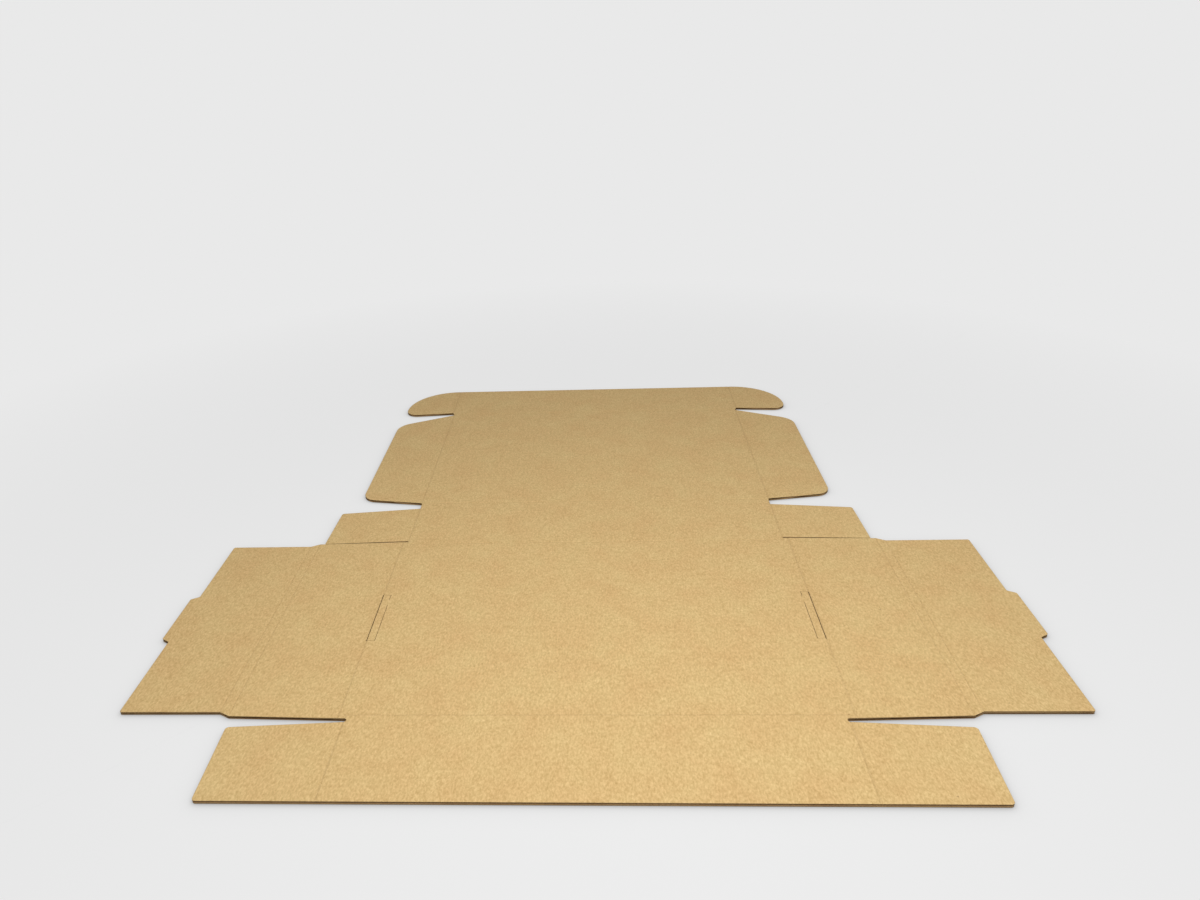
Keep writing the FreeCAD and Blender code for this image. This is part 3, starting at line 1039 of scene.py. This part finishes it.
@dataclass(frozen=True)
class PhotoCamera:
    """The photograph's camera, found by fitting the blank's own corners to their places in the picture.

    Attributes:
        focal_px: focal length in pixels of the photograph.
        yaw_deg: how far it looks to the right of the blank's length.
        pitch_deg: how far it looks down.
        roll_deg: how far it is turned about its line of sight.
        place: where it stands in the part's frame, in millimetres.
        centre_px: the pixel that it looks straight at.
        sensor: width of its sensor, in millimetres.
        near: nearest distance that it sees, in metres.
    """

    focal_px: float = 886.1
    yaw_deg: float = -3.477
    pitch_deg: float = 25.104
    roll_deg: float = -2.448
    place: tuple[float, float, float] = (8.5, -733.5, 419.0)
    centre_px: tuple[float, float] = (552.4, 452.0)
    sensor: float = 36.0
    near: float = 0.01

    def build(self) -> bpy.types.Object:
        """Make the camera and look through it."""
        yaw, pitch, roll = (math.radians(angle) for angle in (self.yaw_deg, self.pitch_deg, self.roll_deg))
        level = math.cos(pitch)
        forward = Vector((math.sin(yaw) * level, math.cos(yaw) * level, -math.sin(pitch)))
        flat_right = Vector((math.cos(yaw), -math.sin(yaw), 0))
        flat_up = flat_right.cross(forward)
        right = flat_right * math.cos(roll) + flat_up * math.sin(roll)
        up = flat_up * math.cos(roll) - flat_right * math.sin(roll)
        turned = Matrix((right, up, -forward)).transposed().to_4x4()
        lens = bpy.data.cameras.new("photo_camera")
        lens.sensor_width = self.sensor
        lens.lens = self.focal_px / PHOTO_WIDTH * self.sensor
        lens.shift_x = (PHOTO_WIDTH / 2 - self.centre_px[0]) / PHOTO_WIDTH
        lens.shift_y = (self.centre_px[1] - PHOTO_HEIGHT / 2) / PHOTO_WIDTH
        lens.clip_start = self.near
        camera = bpy.data.objects.new("photo_camera", lens)
        camera.matrix_world = Matrix.Translation(Vector(self.place) * MM) @ turned
        bpy.context.scene.collection.objects.link(camera)
        bpy.context.scene.camera = camera
        return camera


@dataclass(frozen=True)
class Studio:
    """A pale floor that runs into a backdrop of its own colour, under soft light from above the front.

    Attributes:
        floor_colour: colour of the floor and the backdrop.
        floor_reach: half the width of the floor, in metres.
        shade_share: how much of the lamps' own shading the floor shows beside the blank.
        shade_start: distance from the blank's middle at which the floor begins to turn plain, in metres.
        shade_end: distance at which it is quite plain, in metres.
        painted_contact_shadow_reach: width of the painted contact shadow, a soft dark line where the blank
            meets
        the floor, in metres.
        ambient: strength of the even light from all round.
        key_power: power of the soft lamp, in watts.
        key_size: width of the lamp, in metres.
        key_place: where the lamp hangs, in metres.
    """

    floor_colour: str = "#E9E9E9"
    floor_reach: float = 30.0
    shade_share: float = 0.2
    shade_start: float = 0.3
    shade_end: float = 0.9
    painted_contact_shadow_reach: float = 0.02
    ambient: float = 0.38
    key_power: float = 5.75
    key_size: float = 0.6
    key_place: tuple[float, float, float] = (0.08, -0.45, 0.75)

    def build(self) -> None:
        """Lay the floor, light it and set the backdrop."""
        self.floor()
        self.key()
        self.world()

    def floor(self) -> bpy.types.Object:
        """Lay the floor just under the blank."""
        build = bmesh.new()
        reach = self.floor_reach
        corners = [(-reach, -reach, 0), (reach, -reach, 0), (reach, reach, 0), (-reach, reach, 0)]
        build.faces.new([build.verts.new(corner) for corner in corners])
        floor = linked("floor", build)
        floor.data.materials.append(self.floor_paint())
        return floor

    def floor_paint(self) -> bpy.types.Material:
        """Matt paper sweep, whose shading fades into its plain colour where only the picture sees it.

        That plain colour carries a painted contact shadow, darkened by ambient occlusion near the blank.
        """
        paint = bpy.data.materials.new("matt_floor")
        paint.use_nodes = True
        tree = paint.node_tree
        tree.nodes.clear()
        matt = add_node(tree, "ShaderNodeBsdfDiffuse", {"Color": linear(self.floor_colour)}, out=0)
        contact = {"Color": linear(self.floor_colour), "Distance": self.painted_contact_shadow_reach}
        # Painted contact shadow: the floor's plain colour darkened by ambient occlusion near the blank.
        painted_contact_shadow = add_node(tree, "ShaderNodeAmbientOcclusion", contact, out="Color")
        plain = add_node(tree, "ShaderNodeEmission", {"Color": painted_contact_shadow}, out=0)
        place = add_node(tree, "ShaderNodeTexCoord", out="Object")
        away = add_node(tree, "ShaderNodeVectorMath", {0: place}, out="Value", operation="LENGTH")
        fade = {
            "Value": away,
            "From Min": self.shade_start,
            "From Max": self.shade_end,
            "To Min": 1 - self.shade_share,
        }
        plainness = add_node(tree, "ShaderNodeMapRange", fade, out=0)
        shown = add_node(tree, "ShaderNodeMixShader", {0: plainness, 1: matt, 2: plain}, out=0)
        surface = add_node(tree, "ShaderNodeMixShader", {0: self.seen(tree), 1: matt, 2: shown}, out=0)
        add_node(tree, "ShaderNodeOutputMaterial", {"Surface": surface})
        return paint

    def seen(self, tree: bpy.types.NodeTree) -> bpy.types.NodeSocket:
        """Tell the rays that show the background from those that light the blank."""
        ray = add_node(tree, "ShaderNodeLightPath").outputs
        direct = {0: ray["Is Camera Ray"], 1: ray["Is Glossy Ray"]}
        mirrored = add_node(tree, MATH, direct, out=0, operation="MAXIMUM")
        through = {0: mirrored, 1: ray["Is Transmission Ray"]}
        return add_node(tree, MATH, through, out=0, operation="MAXIMUM")

    def key(self) -> bpy.types.Object:
        """Hang the soft key light."""
        data = bpy.data.lights.new("key_light", "AREA")
        data.shape = "DISK"
        data.size = self.key_size
        data.energy = self.key_power
        light = bpy.data.objects.new("key_light", data)
        light.location = self.key_place
        light.rotation_euler = (-Vector(self.key_place)).to_track_quat("-Z", "Y").to_euler()
        bpy.context.scene.collection.objects.link(light)
        return light

    def world(self) -> None:
        """Fill the shadows with even light, and show the backdrop where a ray meets nothing."""
        world = bpy.data.worlds.new("studio")
        bpy.context.scene.world = world
        world.use_nodes = True
        tree = world.node_tree
        tree.nodes.clear()
        even = {"Color": linear("#FFFFFF"), "Strength": self.ambient}
        fill = add_node(tree, "ShaderNodeBackground", even, out=0)
        backdrop = add_node(tree, "ShaderNodeBackground", {"Color": linear(self.floor_colour)}, out=0)
        surface = add_node(tree, "ShaderNodeMixShader", {0: self.seen(tree), 1: fill, 2: backdrop}, out=0)
        add_node(tree, "ShaderNodeOutputWorld", {"Surface": surface})


def main() -> None:
    """Build the scene in order."""
    logging.basicConfig(level=logging.INFO, format="%(name)s: %(message)s")
    PhotoCamera().build()
    piece = BoxBlank().build()
    piece.data.calc_loop_triangles()
    log.info("%s has %d triangles", piece.name, len(piece.data.loop_triangles))
    Studio().build()
    bpy.context.scene.view_settings.view_transform = "Standard"


if __name__ == "__main__":
    main()
